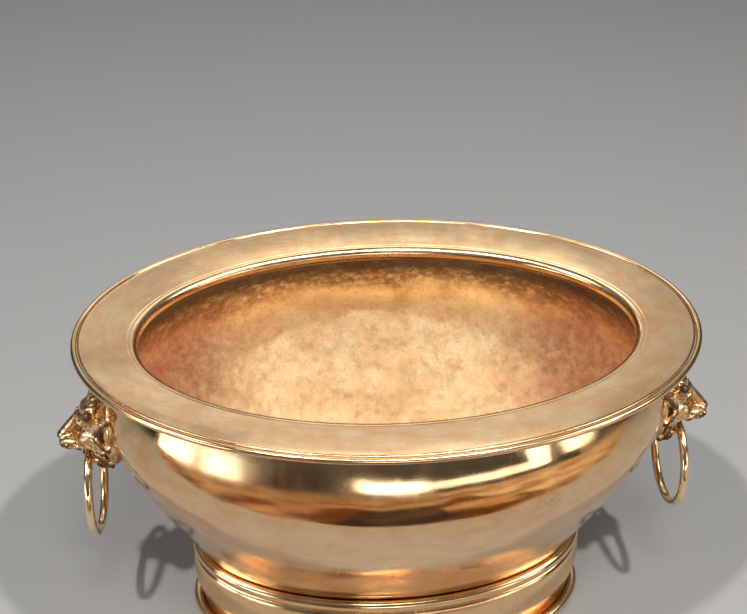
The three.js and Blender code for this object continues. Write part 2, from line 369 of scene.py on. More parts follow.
def bowl_half(height):
    """Half length of the bowl's outside at heights."""
    return np.interp(height, BOWL_OUTSIDE[:, 1], BOWL_OUTSIDE[:, 0])


def wall_push(_, point):
    """Dents fade out towards the neck and the waist, where the bowl meets its neighbours."""
    height = point[1]
    fade = min(1, max(0, (height - waist[1] - 2 * MM) / (14 * MM)), max(0, (NECK_FOOT - height) / (10 * MM)))
    return (fade, 0)


def bowl_profile():
    profile = Profile()
    neck_top = bowl_high.z
    profile.add([(0, bowl_low.z), (BASE_HALF / 2, bowl_low.z), (floor_edge[0] - 5 * MM, bowl_low.z)])
    profile.add(BOWL_OUTSIDE, wall_push)
    profile.add([(NECK_HALF, neck_top - 0.3 * MM), (NECK_HALF - 0.3 * MM, neck_top)])
    inside = beside(BOWL_OUTSIDE, BOWL_WALL)[::-1]
    inside = inside[inside[:, 1] > bowl_low.z + BOWL_WALL]
    profile.add([(NECK_HALF - BOWL_WALL + 0.3 * MM, neck_top)], lining=0.4)
    profile.add([(NECK_HALF - BOWL_WALL, neck_top - 0.3 * MM)], lining=1.0)
    profile.add(inside, wall_push, 1.0)
    floor_z = bowl_low.z + BOWL_WALL
    shares = np.linspace(0.96, 0, 22)
    profile.add([(floor_edge[0] * share, floor_z) for share in shares], (0, 0.6), 1.0)
    return profile


def flange_profile():
    top = flange_high.z
    under = top - FLANGE_THICKNESS
    outer = flange_high.x
    edge = 0.35 * MM
    inner_top = top - FLANGE_DISH
    inner_under = under - FLANGE_DISH
    flat = np.linspace(0.06, 0.97, 34)
    profile = Profile()
    profile.add([(outer, under + edge), (outer, top - edge), (outer - edge, top), (outer - 2 * MM, top)])

    def sunk(share, _):
        return (0, min(1, share * 6))

    start, end = (outer - 2 * MM, top), (MOUTH + FLANGE_ROLL, inner_top)
    profile.add([between(start, end, share, share**1.25) for share in flat], sunk)
    profile.add(arc((MOUTH + FLANGE_ROLL, inner_top - FLANGE_ROLL), FLANGE_ROLL, 84, 180, 16), (0, 0.5))
    profile.add([(MOUTH, inner_top - FLANGE_ROLL - 1.4 * MM), (MOUTH, flange_low.z + edge)], lining=0.8)
    profile.add([(MOUTH + edge, flange_low.z), (MOUTH + FLANGE_THICKNESS - edge, flange_low.z)], lining=0.8)
    inner = MOUTH + FLANGE_THICKNESS
    profile.add([(inner, flange_low.z + edge), (inner, inner_under - 1 * MM)])
    profile.add([(inner + 0.8 * MM, inner_under)])
    low_start, low_end = (inner + 0.8 * MM, inner_under), (outer - edge, under)
    profile.add([between(low_start, low_end, share, share) for share in np.linspace(0.08, 0.95, 16)])
    profile.add([(outer - edge, under)])
    profile.close()
    return profile


def bead_profile(centre, radius, count=24):
    profile = Profile()
    profile.add(arc(centre, radius, 0, 360, count)[:-1])
    profile.close()
    return profile


def foot_profile():
    top = np.array([BASE_HALF, foot_high.z])
    widest = np.array([foot_high.x, foot_high.z - FOOT_SHOULDER])
    base = np.array([BASE_HALF, 8 * MM])
    shoulder = bend([top, (widest[0], top[1]), widest], 18)[::-1]
    flank = bend([widest, between(widest, base, 0, 0.4), between(base, widest, 0, 0.25), base], 24)[::-1]
    outside = np.concatenate([[(base[0], 0.4 * MM), (base[0], 4 * MM)], flank, shoulder[1:]])
    seat = [(x, foot_high.z) for x in np.linspace(top[0] - 4 * MM, FOOT_SEAT, 8)]
    outside = np.concatenate([outside, seat])

    def faded(_, point):
        fade = max(0, min((point[1] - 9 * MM) / (6 * MM), (foot_high.z - point[1]) / (10 * MM), 1))
        return (-fade, 0)

    profile = Profile()
    profile.add([(base[0] - BASE_LIP + 0.4 * MM, 0), (base[0] - 0.4 * MM, 0)])
    profile.add(outside, faded)
    inside = beside(outside, FOOT_THICKNESS)[::-1]
    inside[:2, 0] = FOOT_SEAT
    inside[-2:, 1] = FOOT_THICKNESS
    profile.add(inside[:-1], faded, 1.0)
    profile.add([(base[0] - BASE_LIP, FOOT_THICKNESS), (base[0] - BASE_LIP, 0.4 * MM)], lining=1.0)
    profile.close()
    return profile


# ---------------------------------------------------------------- shader groups


def mixed(share, a, b):
    """Colour a, turned into b by a share."""
    node = add(share.id_data, "ShaderNodeMix", data_type="RGBA")
    socket = {s.identifier: s for s in node.inputs}
    for key, value in (("Factor_Float", share), ("A_Color", a), ("B_Color", b)):
        if isinstance(value, bpy.types.NodeSocket):
            node.id_data.links.new(value, socket[key])
        else:
            socket[key].default_value = value
    return next(s for s in node.outputs if s.identifier == "Result_Color")


def attribute(tree, name):
    return add(tree, "ShaderNodeAttribute", attribute_name=name).outputs


def object_place(tree):
    return tree.nodes.new("ShaderNodeTexCoord").outputs["Object"]


def polish_lines_group():
    """Fine lines that the polishing wheel leaves round the oval, following the piece's own section."""
    inputs = [("Lines", "Float", 900.0), ("Length", "Float", 5.0)]
    outputs = [("Height", "Float"), ("Streak", "Float")]
    tree, given, result = node_group("polish_lines", "ShaderNodeTree", inputs, outputs)
    section = parts(attribute(tree, "section")["Vector"])
    turn = parts(attribute(tree, "turn")["Vector"])

    def lines(share, shift, detail):
        across = times(section["Z"], times(given["Lines"], share))
        cosine = times(turn["X"], given["Length"])
        sine = times(turn["Y"], given["Length"])
        place = whole(tree, across, cosine, sine)
        return noise(place, 1.0, detail, 0.6, shift)

    set_inputs(result, {"Height": lines(1.0, 1.3, 2.0), "Streak": lines(0.12, 8.1, 3.0)})
    return tree


SCRATCH_SHAPE = (1.0, 0.06, 0.3)


def hand_marks_group():
    """Short rubbing scratches in all directions, and soft smears."""
    inputs = [("Scratch Size", "Float", 140.0), ("Smear Size", "Float", 18.0)]
    outputs = [("Scratches", "Float"), ("Smears", "Float")]
    tree, given, result = node_group("hand_marks", "ShaderNodeTree", inputs, outputs)
    place = object_place(tree)
    total = None
    for i, turn in enumerate(((0.3, 0.9, 0.2), (1.2, 0.1, 1.9), (2.2, 1.4, 0.7))):
        turned = add(tree, "ShaderNodeMapping", {"Vector": place, "Rotation": turn, "Scale": SCRATCH_SHAPE})
        scratches = noise(turned.outputs[0], given["Scratch Size"], 3.0, 0.7)
        thin = ranged(scratches, 0.60 + 0.01 * i, 0.68)
        total = thin if total is None else maths("MAXIMUM", total, thin)
    smear = noise(place, given["Smear Size"], 5.0, 0.62, distortion=0.8)
    set_inputs(result, {"Scratches": total, "Smears": ranged(smear, 0.35, 0.68)})
    return tree


def tarnish_group():
    """Browning of old brass: broad clouds broken up by fine flecks."""
    inputs = [
        ("Cloud Size", "Float", 14.0),
        ("Fleck Size", "Float", 420.0),
        ("Amount", "Float", 0.5),
        ("Seed", "Float", 0.0),
    ]
    outputs = [("Mask", "Float"), ("Flecks", "Float"), ("Tone", "Float")]
    tree, given, result = node_group("tarnish", "ShaderNodeTree", inputs, outputs)
    place = object_place(tree)
    cloud = noise(place, given["Cloud Size"], 7.0, 0.6, given["Seed"], 0.5)
    fleck = noise(place, given["Fleck Size"], 4.0, 0.75)
    tone = noise(place, times(given["Cloud Size"], 3.1), 6.0, 0.65, plus(given["Seed"], 4.0))
    broken = plus(cloud, times(minus(fleck, 0.5), 0.35))
    edge = minus(1.0, given["Amount"])
    low = minus(edge, 0.12)
    mask = ranged(broken, low, plus(edge, 0.12))
    set_inputs(result, {"Mask": mask, "Flecks": ranged(fleck, 0.56, 0.70), "Tone": tone})
    return tree


def cast_skin_group():
    """The slightly grainy skin of a casting, with a few pits."""
    inputs = [("Grain", "Float", 900.0), ("Pits", "Float", 260.0)]
    outputs = [("Height", "Float"), ("Pit Mask", "Float")]
    tree, given, result = node_group("cast_skin", "ShaderNodeTree", inputs, outputs)
    place = object_place(tree)
    grain = noise(place, given["Grain"], 3.0, 0.6)
    lumps = noise(place, times(given["Grain"], 0.22))
    cells = add(tree, "ShaderNodeTexVoronoi", {"Vector": place, "Scale": given["Pits"]}, feature="F1")
    pits = ranged(cells.outputs["Distance"], 0.05, 0.22, 1.0, 0.0)
    rare = noise(place, 60.0, 1.0)
    pits = times(pits, ranged(rare, 0.5, 0.62))
    height = plus(times(grain, 0.35), lumps)
    height = minus(height, times(pits, 0.8))
    set_inputs(result, {"Height": height, "Pit Mask": pits})
    return tree


GROUPS = {
    "polish_lines": polish_lines_group(),
    "hand_marks": hand_marks_group(),
    "tarnish": tarnish_group(),
    "cast_skin": cast_skin_group(),
}


def placed_group(tree, name, **values):
    node = tree.nodes.new("ShaderNodeGroup")
    node.node_tree = GROUPS[name]
    set_inputs(node, {key.replace("_", " "): value for key, value in values.items()})
    return node.outputs


def bumped(height, distance, normal=None):
    """The normal that a height gives, on top of another normal if there is one."""
    node = add(height.id_data, "ShaderNodeBump", {"Height": height, "Distance": distance, "Strength": 1.0})
    if normal is not None:
        set_inputs(node, {"Normal": normal})
    return node.outputs[0]


def bare_material(name):
    """A material with an empty node tree. Returns both."""
    material = bpy.data.materials.new(name)
    material.use_nodes = True
    material.node_tree.nodes.clear()
    return material, material.node_tree


def metal(name, viewport):
    """A plain metallic material. Returns it with its tree and its Principled node."""
    material, tree = bare_material(name)
    material.diffuse_color = viewport
    shader = add(tree, "ShaderNodeBsdfPrincipled", {"Metallic": 1.0})
    add(tree, "ShaderNodeOutputMaterial", {0: shader.outputs[0]})
    return material, tree, shader


RUBBED = (0.95, 0.76, 0.52, 1)
PALE = (0.89, 0.645, 0.37, 1)
WARM = (0.85, 0.53, 0.265, 1)
ROSE = (0.79, 0.42, 0.21, 1)
BROWN = (0.24, 0.115, 0.045, 1)
DEEP = (0.07, 0.032, 0.014, 1)
GREEN_BROWN = (0.20, 0.14, 0.055, 1)
LINING_GOLD = (0.98, 0.80, 0.49, 1)
LINING_COPPER = (0.92, 0.66, 0.36, 1)
LINING_RED = (0.47, 0.205, 0.11, 1)
CLOUD_BROWN = (0.60, 0.34, 0.14, 1)
STAIN_BROWN = (0.66, 0.42, 0.17, 1)

# Heights where the lip and the lining turn brown and dark, as painted shade under the rim with some tarnish,
# and distances from the middle where the lining turns red and darker, partly as painted shade towards the
# less lit ends.
LIP_SHADE_AND_TARNISH_BAND = (rim_high.z - 1.8 * MM, rim_high.z - 6.5 * MM)
UNDER_RIM_SHADE_BAND = (rim_high.z - 60 * MM, rim_high.z - 30 * MM)
NECK_SHADE_BAND = (rim_high.z - 36 * MM, rim_high.z - 20 * MM)
SHADED_REDDER_ENDS = (72 * MM, 148 * MM)


def polished_brass(
    name, lines=900.0, rough=0.16, line_depth=2.2e-6, tarnished=0.30, seed=0.0, wave=4e-5, shade_and_tarnish_band=None,
):
    """Wheel-polished sheet: wavy, with fine lines, smears and a little browning.
    The band argument is the height where it starts to turn dark and the lower height where it is dark:
    painted shade under the rim's roll, with some tarnish."""
    material, tree, shader = metal(name, WARM)
    polish = placed_group(tree, "polish_lines", Lines=lines)
    marks = placed_group(tree, "hand_marks")
    age = placed_group(tree, "tarnish", Amount=tarnished, Cloud_Size=16.0, Seed=seed)
    color = mixed(ranged(age["Tone"], 0.38, 0.64), PALE, WARM)
    color = mixed(times(ranged(polish["Streak"], 0.45, 0.72), 0.45), color, ROSE)
    color = mixed(times(age["Mask"], 0.45), color, BROWN)
    color = mixed(times(age["Flecks"], 0.10), color, DEEP)
    # Painted shade, with some tarnish: the lip darkens below the roll, where the rim shades it.
    if shade_and_tarnish_band:
        section = parts(attribute(tree, "section")["Vector"])
        color = mixed(times(ranged(section["Y"], *shade_and_tarnish_band), 0.93), color, DEEP)
    roughness = ranged(marks["Smears"], 0.0, 1.0, rough - 0.05, rough + 0.07, "LINEAR")
    roughness = plus(roughness, times(age["Mask"], 0.14))
    roughness = plus(roughness, times(marks["Scratches"], 0.025))
    normal = bumped(noise(object_place(tree), 26.0, 1.5, 0.4), wave * 4)
    normal = bumped(polish["Height"], line_depth * 5, normal)
    normal = bumped(marks["Scratches"], -8e-7, normal)
    set_inputs(shader, {"Base Color": color, "Roughness": roughness, "Normal": normal})
    return material


def aged_shaded_lining(name):
    """The bowl's inside: mottled copper and gold, brown and then nearly black under the rim as painted shade
    with some tarnish, redder and darker towards the ends as partly painted shade, with flecks and small pits.
    """
    material, tree, shader = metal(name, ROSE)
    age = placed_group(tree, "tarnish", Amount=0.46, Cloud_Size=11.0, Seed=2.0)
    stain = placed_group(tree, "tarnish", Amount=0.50, Cloud_Size=58.0, Fleck_Size=800.0, Seed=9.0)
    skin = placed_group(tree, "cast_skin", Grain=420.0, Pits=180.0)
    marks = placed_group(tree, "hand_marks", Scratch_Size=90.0, Smear_Size=30.0)
    section = parts(attribute(tree, "section")["Vector"])
    turn = parts(attribute(tree, "turn")["Vector"])
    along = maths("ABSOLUTE", times(turn["X"], section["X"]))
    # Partly painted shade: redder and darker towards the ends of the inside, which get less light than the
    # middle, and partly the lining's own tone.
    shaded_ends = ranged(along, *SHADED_REDDER_ENDS)
    shaded_ends = plus(shaded_ends, times(minus(stain["Tone"], 0.5), 1.2))
    color = mixed(ranged(age["Tone"], 0.40, 0.62), LINING_GOLD, LINING_COPPER)
    color = mixed(times(shaded_ends, 0.92), color, LINING_RED)
    color = mixed(times(age["Mask"], 0.30), color, CLOUD_BROWN)
    color = mixed(times(stain["Mask"], 0.22), color, STAIN_BROWN)
    color = mixed(times(stain["Flecks"], 0.60), color, GREEN_BROWN)
    # Painted shade, broken up by stain: the lining turns brown in a ragged band under the rim, then nearly
    # black at the neck, where the rim overhangs it.
    unevenness = times(minus(age["Tone"], 0.5), 0.05)
    height = plus(section["Y"], unevenness)
    under_rim_shade = ranged(height, *UNDER_RIM_SHADE_BAND)
    ragged_shade_and_stain = times(under_rim_shade, ranged(stain["Tone"], 0.30, 0.56))
    color = mixed(times(ragged_shade_and_stain, 0.9), color, BROWN)
    neck = ranged(section["Y"], *NECK_SHADE_BAND)
    color = mixed(times(neck, 0.93), color, DEEP)
    roughness = ranged(marks["Smears"], 0.0, 1.0, 0.40, 0.54, "LINEAR")
    roughness = plus(roughness, times(ragged_shade_and_stain, 0.12))
    normal = bumped(skin["Height"], 9e-5)
    normal = bumped(age["Tone"], 6e-4, normal)
    bare = ranged(stain["Tone"], 0.35, 0.65, 0.40, 0.70)
    set_inputs(shader, {"Base Color": color, "Metallic": bare, "Roughness": roughness, "Normal": normal})
    return material


def cast_brass(name, rough=0.21, grain=1100.0, depth=3.0e-5, hollow_share=1.0, seed=0.0):
    """Cast and rubbed brass: bright on what stands out, dark in the hollows, as patina there and as painted
    shade where the ring hangs in the mouth.
    """
    material, tree, shader = metal(name, WARM)
    skin = placed_group(tree, "cast_skin", Grain=grain, Pits=420.0)
    age = placed_group(tree, "tarnish", Amount=0.42, Cloud_Size=90.0, Fleck_Size=900.0, Seed=seed)
    marks = placed_group(tree, "hand_marks", Scratch_Size=420.0, Smear_Size=60.0)
    hollow = attribute(tree, "hollow")["Fac"]
    hollow = plus(hollow, times(minus(age["Tone"], 0.5), 0.5))
    # Darkening by the hollow value: patina in the mask's hollows, and painted shade round the ring's path
    # through the mouth and at the ring's top.
    dirt_and_shade = times(ranged(hollow, 0.50, 0.80), hollow_share)
    bright = ranged(hollow, 0.46, 0.22)
    color = mixed(ranged(age["Tone"], 0.38, 0.64), PALE, WARM)
    color = mixed(times(bright, 0.9), color, RUBBED)
    color = mixed(times(age["Mask"], 0.18), color, BROWN)
    color = mixed(times(dirt_and_shade, 0.92), color, DEEP)
    color = mixed(times(skin["Pit Mask"], 0.6), color, DEEP)
    roughness = ranged(marks["Smears"], 0.0, 1.0, rough - 0.05, rough + 0.06, "LINEAR")
    roughness = plus(roughness, times(dirt_and_shade, 0.30))
    roughness = minus(roughness, times(bright, 0.04))
    normal = bumped(skin["Height"], depth)
    normal = bumped(marks["Scratches"], -8e-6, normal)
    set_inputs(shader, {"Base Color": color, "Roughness": roughness, "Normal": normal})
    return material


METALS = {
    "bowl": polished_brass("polished_bowl_brass", rough=0.14, tarnished=0.30, seed=1.0, wave=1.3e-4),
    "lining": aged_shaded_lining("aged_shaded_bowl_lining"),
    "rim": polished_brass(
        "polished_rim_brass", lines=1300.0, rough=0.21, line_depth=3.2e-6, tarnished=0.26, seed=5.0,
    ),
    "mouth_lip": polished_brass("shaded_tarnished_mouth_lip", rough=0.30, tarnished=0.50, seed=6.0, shade_and_tarnish_band=LIP_SHADE_AND_TARNISH_BAND),
    "bead": polished_brass(
        "polished_bead_brass", lines=2600.0, rough=0.15, tarnished=0.27, seed=3.0, wave=1e-5,
    ),
    "foot": polished_brass("polished_foot_brass", lines=1100.0, rough=0.16, tarnished=0.34, seed=8.0),
    "foot_inside": polished_brass("dull_foot_inside", rough=0.42, tarnished=0.70, seed=4.0),
    "mask": cast_brass("cast_mask_brass", seed=2.0),
    "ring": cast_brass("rubbed_ring_brass", rough=0.17, grain=700.0, depth=8e-6, hollow_share=0.5, seed=5.0),
    "fixings": cast_brass("dull_fixing_brass", rough=0.36, grain=1500.0, depth=1.2e-5, seed=7.0),
}
TURNING = oval_turning_tree()


def oval_piece(name, node, slot, profile, metal_name, lining=None, **inputs):
    values = {
        "Around": AROUND,
        "Oval": OVAL,
        "Metal": METALS[metal_name],
        "Lining": METALS[lining or metal_name],
        **{key.replace("_", " ").title(): value for key, value in inputs.items()},
    }
    made = applied(name, profile.mesh(name + "_profile"), TURNING, values)
    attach(made, POT)
    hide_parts(node)
    return made


oval_piece(
    "hammered_bowl", "bowl_shell", "bowl", bowl_profile(), "bowl", "lining",
    dent_depth=1.1 * MM, dent_size=0.075, ripple_depth=0.26 * MM, ripple_size=0.03, seed=4,
)
oval_piece(
    "flat_rim", "rim_flange", "rim", flange_profile(), "rim", "mouth_lip",
    dent_depth=0.34 * MM, dent_size=0.055, ripple_depth=0.06 * MM, ripple_size=0.02, seed=11,
)
oval_piece(
    "wired_rim_edge", "rim_wire", "rim_bead",
    bead_profile((rim_high.x - RIM_BEAD, rim_high.z - RIM_BEAD), RIM_BEAD), "bead",
)
oval_piece(
    "foot_collar_bead", "foot_collar", "foot_bead",
    bead_profile((collar_high.x - COLLAR_BEAD, collar_high.z - COLLAR_BEAD), COLLAR_BEAD, 32), "bead",
)
oval_piece(
    "swelled_foot", "foot_ring", "foot", foot_profile(), "foot", "foot_inside",
    dent_depth=0.3 * MM, dent_size=0.05, ripple_depth=0.03 * MM, ripple_size=0.016, seed=21,
)
oval_piece(
    "base_bead", "base_wire", "base_bead",
    bead_profile((base_high.x - BASE_BEAD, base_high.z - BASE_BEAD), BASE_BEAD, 32), "bead",
)

# ---------------------------------------------------------------- lion masks, shaped as a field of distances

CARVE_STEP = 0.55
MASK_HALF_WIDTH = 25.7
MASK_TOP = 41.7
MASK_CHIN = -13.8
RING_SWING = (-42.0, 197.0)
SWING_PLAY = 0.4


def smooth_join(a, b, k):
    """The union of two distance fields, filleted over about k."""
    h = np.clip(0.5 + 0.5 * (b - a) / k, 0, 1)
    return b + (a - b) * h - k * h * (1 - h)


def smooth_carve(a, b, k):
    """Field a with field b cut away, with the edge softened over about k."""
    return -smooth_join(-a, b, k)


class Clay:
    """A distance field in millimetres on a grid: outwards, sideways and upwards from the ring's pivot.
    Everything is drawn at the near side of the middle and is there on the far side too."""

    def __init__(self, low, high, step):
        axes = [np.arange(a, b + step, step, dtype=np.float32) for a, b in zip(low, high)]
        self.low, self.step = low, step
        self.out, self.side, self.up = np.meshgrid(*axes, indexing="ij")
        self.mirror = np.abs(self.side)
        self.field = np.full(self.out.shape, 99.0, np.float32)

    def egg(self, place, radii):
        x, y, z = self.out - place[0], self.mirror - place[1], self.up - place[2]
        a, b, c = radii
        near = np.sqrt((x / a) ** 2 + (y / b) ** 2 + (z / c) ** 2)
        far = np.sqrt((x / a**2) ** 2 + (y / b**2) ** 2 + (z / c**2) ** 2)
        return near * (near - 1) / np.maximum(far, 1e-6)

    def limb(self, start, end, thick, thin):
        start, end = np.array(start, np.float32), np.array(end, np.float32)
        span = end - start
        x, y, z = self.out - start[0], self.mirror - start[1], self.up - start[2]
        h = np.clip((x * span[0] + y * span[1] + z * span[2]) / (span @ span), 0, 1)
        x, y, z = x - h * span[0], y - h * span[1], z - h * span[2]
        return np.sqrt(x * x + y * y + z * z) - (thick + (thin - thick) * h)

    def join(self, shape, k=1.0):
        self.field = smooth_join(self.field, shape, k)

    def carve(self, shape, k=1.0):
        self.field = smooth_carve(self.field, shape, k)

    def lock(self, points, thick, thin, k=0.7):
        """A lock of hair along points, of two strands with a parting between them."""
        count = len(points) - 1
        for shift in (-0.30, 0.30):
            for i in range(count):
                a, b = np.array(points[i], float), np.array(points[i + 1], float)
                across = np.cross(b - a, (1.0, 0, 0))
                across /= np.linalg.norm(across) + 1e-6
                wide = [thick + (thin - thick) * (i + n) / count for n in (0, 1)]
                a, b = a + across * wide[0] * shift * 2, b + across * wide[1] * shift * 2
                self.join(self.limb(a, b, wide[0] * 0.72, wide[1] * 0.72), k)


def ray_of(angle, radius, out, middle=(0.0, 13.0), stretch=1.0):
    """A point at a radius round the face's middle, at an angle up from the side."""
    turn = math.radians(angle)
    return (out, middle[0] + radius * math.cos(turn), middle[1] + stretch * radius * math.sin(turn))


def shape_mane(clay):
    clay.join(clay.egg((-17.5, 0, 14), (8.5, 23.5, 26)))
    for k in range(9):
        angle = 88 - 20.5 * k
        curl = 7 if k % 2 else -4
        points = [
            ray_of(angle, 13, -7),
            ray_of(angle + curl * 0.5, 18, -8.5, stretch=1.03),
            ray_of(angle + curl, 22.3, -12, stretch=1.06),
            ray_of(angle + curl * 2.2, 24.4, -16.5, stretch=1.08),
        ]
        clay.lock(points, 3.7, 1.5)
    for k in range(8):
        angle = 78 - 20.5 * k
        curl = -6 if k % 2 else 5
        points = [
            ray_of(angle, 9.5, -2.5),
            ray_of(angle + curl, 14, -3.5),
            ray_of(angle + curl * 2.4, 18, -7.5, stretch=1.03),
        ]
        clay.lock(points, 3.2, 1.3)
    for side, lean in ((0.0, 0.0), (4.2, 1.4), (8.2, 3.6)):
        crown = [(-1, side, 30), (-3.5, side + lean * 0.6, 35), (-9, side + lean, 39.3 - side * 0.25)]
        clay.lock(crown, 3.2, 1.6)


def shape_face(clay):
    clay.join(clay.egg((-7, 0, 19), (11, 13.5, 15)), 2)
    clay.join(clay.egg((-3, 0, 31), (6.5, 8, 6)), 2)
    clay.join(clay.egg((-1, 10.5, 12.5), (6.5, 5.5, 6.5)), 2.5)
    clay.join(clay.limb((3.6, 2.2, 27.5), (-1.2, 11.8, 28.2), 2.9, 2.0), 1.6)
    clay.join(clay.limb((2.0, 0, 27.5), (14.0, 0, 12.6), 3.6, 4.3), 2.2)
    clay.carve(clay.limb((4.0, 0, 33), (5.8, 0, 26.0), 0.7, 0.5), 1.0)
    clay.join(clay.egg((16.4, 0, 10.0), (4.2, 5.9, 3.7)), 1.2)
    clay.join(clay.egg((11.0, 5.2, 7.4), (7.8, 6.2, 4.6)), 1.2)
    clay.join(clay.limb((15.8, 3.0, 4.8), (3.0, 12.5, 6.2), 1.9, 1.7), 0.9)
    clay.carve(clay.limb((20.2, 0, 8.0), (18.0, 0, 2.5), 0.6, 0.7), 0.7)
    clay.carve(clay.egg((19.6, 3.1, 8.6), (2.0, 1.5, 1.2)), 0.5)
    clay.carve(clay.limb((12.0, 5.0, 13.8), (3.0, 9.5, 16.5), 0.5, 0.8), 1.2)
    clay.carve(clay.egg((6.2, 7.6, 22.6), (4.4, 3.9, 2.9)), 1.8)
    clay.join(clay.egg((2.5, 7.1, 22.2), (3.0, 3.1, 2.9)), 0.3)
    upper_lid = ((5.4, 4.3, 22.6), (5.4, 7.2, 24.9), (1.9, 10.6, 22.8))
    lower_lid = ((5.4, 4.3, 21.6), (5.0, 7.2, 19.7), (1.9, 10.4, 21.4))
    for inner, middle, outer in (upper_lid, lower_lid):
        clay.join(clay.limb(inner, middle, 0.8, 1.0), 0.5)
        clay.join(clay.limb(middle, outer, 1.0, 0.8), 0.5)
    clay.carve(clay.egg((5.6, 6.9, 22.3), (0.9, 0.9, 1.0)), 0.3)
    clay.join(clay.limb((-5, 13.5, 29.5), (-4.2, 16.8, 35.0), 4.6, 3.2), 1.2)
    clay.carve(clay.egg((0.6, 15.6, 33.0), (2.6, 2.0, 3.6)), 0.9)
    for whisker in ((15.9, 8.5, 9.0), (13.3, 10.4, 9.0), (14.5, 9.8, 6.6), (11.3, 11.6, 7.0)):
        clay.carve(clay.egg(whisker, (0.7, 0.7, 0.6)), 0.4)


def shape_jaw(clay):
    clay.join(clay.egg((-3.0, 0, -7.5), (8.2, 9.0, 5.2)), 2)
    clay.join(clay.limb((4.0, 0, -6.2), (0.0, 8.0, -6.0), 1.9, 1.6), 0.8)
    clay.carve(clay.egg((7.5, 0, -1.2), (8.5, 7.0, 3.1)), 1.0)
    for side, out, down in ((0.0, -1.5, -13.2), (4.4, -4.0, -12.6), (8.6, -8.0, -11.6)):
        clay.lock([(out + 1.5, side, -8.5), (out - 0.5, side, -11), (out - 6.0, side + 1.0, down)], 2.9, 1.2)


def swing_gap(clay):
    """Distance to the space that the hanging ring sweeps between its two stops."""
    lever = np.sqrt(clay.out**2 + clay.up**2)
    turn = np.degrees(np.arctan2(clay.out, -clay.up))
    turn = np.where(turn < -90, turn + 360, turn)
    held = np.radians(np.clip(turn, *RING_SWING) - turn)
    reach = lever * np.cos(held)
    beyond = lever * np.sin(held)
    radius = RING_RADIUS / MM
    flat = np.sqrt((reach - radius) ** 2 + clay.side**2) - radius
    return np.sqrt(flat**2 + beyond**2) - (RING_WIRE / MM + SWING_PLAY)


def behind_wall(clay):
    """Distance inside the bowl's outside face, which the mask is filed to fit."""
    height = clay.up * MM + PIVOT.z
    half = bowl_half(height)
    wide = half_width(half)
    share = np.clip(clay.side * MM / wide, -0.95, 0.95)
    wall = half * np.sqrt(1 - share**2) / MM
    return (clay.out + PIVOT.x / MM) - (wall - 0.5)


def moved_back(cells, axes, steps):
    """Cells moved back by a step along each of two axes."""
    moved = cells.copy()
    moved[:, axes[0]] -= steps[0]
    moved[:, axes[1]] -= steps[1]
    return moved


def net_of(field, low, step):
    """Points and quads on the zero level of a field: one point in each cell that the level passes through."""
    inside = field < 0
    shape = np.array(field.shape)
    total = np.zeros((*(shape - 1), 3), np.float32)
    count = np.zeros(shape - 1, np.float32)
    crossings = []
    for axis in range(3):
        first = [slice(None)] * 3
        second = [slice(None)] * 3
        first[axis], second[axis] = slice(0, -1), slice(1, None)
        a, b = field[tuple(first)], field[tuple(second)]
        cross = inside[tuple(first)] != inside[tuple(second)]
        place = np.argwhere(cross)
        share = (a[cross] / (a[cross] - b[cross]))[:, None]
        point = place.astype(np.float32)
        point[:, axis] += share[:, 0]
        others = [n for n in range(3) if n != axis]
        for corner in ((0, 0), (0, 1), (1, 0), (1, 1)):
            cell = moved_back(place, others, corner)
            good = ((cell >= 0) & (cell < shape - 1)).all(1)
            key = tuple(cell[good].T)
            np.add.at(total, key, point[good])
            np.add.at(count, key, 1)
        crossings.append((place, others, inside[tuple(first)][cross] ^ (axis == 1)))
    used = count > 0
    number = np.full(count.shape, -1)
    number[used] = np.arange(used.sum())
    points = total[used] / count[used][:, None] * step + np.array(low)
    quads = []
    for place, others, flip in crossings:
        corners = []
        for corner in ((0, 0), (1, 0), (1, 1), (0, 1)):
            cell = moved_back(place, others, corner)
            corners.append(number[tuple(np.clip(cell, 0, shape - 2).T)])
        quad = np.stack(corners, 1)
        quad[~flip] = quad[~flip][:, ::-1]
        quads.append(quad)
    quads = np.concatenate(quads)
    return points, quads[(quads >= 0).all(1)]


def blurred(field, reach):
    """The field averaged over cubes, twice."""
    for _ in range(2):
        for axis in range(3):
            margins = [(reach + 1, reach) if n == axis else (0, 0) for n in range(3)]
            padded = np.pad(field, margins, mode="edge")
            running = np.cumsum(padded, axis=axis, dtype=np.float64)
            span = 2 * reach + 1
            ahead = np.take(running, range(span, running.shape[axis]), axis=axis)
            back = np.take(running, range(0, running.shape[axis] - span), axis=axis)
            field = ((ahead - back) / span).astype(np.float32)
    return field


